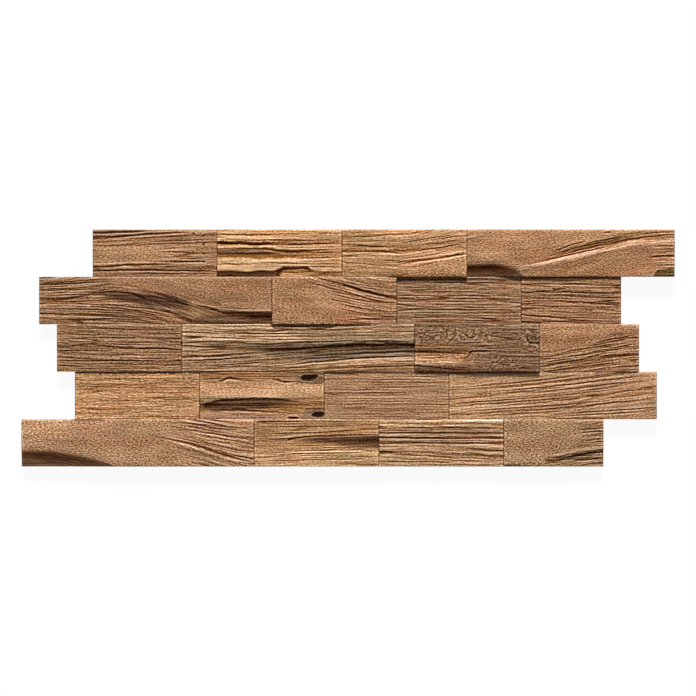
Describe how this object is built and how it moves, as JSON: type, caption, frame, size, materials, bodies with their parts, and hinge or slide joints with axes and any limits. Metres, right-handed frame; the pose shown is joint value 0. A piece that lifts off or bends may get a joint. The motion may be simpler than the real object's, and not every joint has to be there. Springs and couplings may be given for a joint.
{
  "type": "three-dimensional wall panel",
  "caption": "Wall cladding panel of split hardwood blocks in staggered rows, riven to uneven heights and glued to a stepped plywood board, so that its ends interlock with the next panel.",
  "frame": {"origin": "middle of the panel's back, on the plane that is glued to the wall", "axes": "+X along the rows to the right, +Y up the wall, +Z out of the wall; the panel is stored lying on its back"},
  "size_m": [0.5496, 0.1996, 0.0217],
  "materials": {
    "tan_hardwood": "riven, brushed, unfinished",
    "golden_brown_hardwood": "riven, brushed, unfinished",
    "brown_hardwood": "riven, brushed, unfinished",
    "weathered_hardwood": "riven, weathered grey-brown",
    "plywood": "raw plywood"
  },
  "bodies": {
    "root": {"backing_board": "plywood", "row1_block1": "brown_hardwood", "row1_block2": "tan_hardwood", "row1_block3": "tan_hardwood", "row1_block4": "golden_brown_hardwood", "row2_block1": "brown_hardwood", "row2_block2": "golden_brown_hardwood", "row2_block3": "brown_hardwood", "row2_block4": "brown_hardwood", "row3_block1": "brown_hardwood", "row3_block2": "weathered_hardwood", "row3_block3": "weathered_hardwood", "row3_block4": "golden_brown_hardwood", "row4_block1": "tan_hardwood", "row4_block2": "tan_hardwood", "row4_block3": "golden_brown_hardwood", "row4_block4": "golden_brown_hardwood", "row5_block1": "golden_brown_hardwood", "row5_block2": "tan_hardwood", "row5_block3": "golden_brown_hardwood", "row5_block4": "golden_brown_hardwood"}
  },
  "joints": []
}
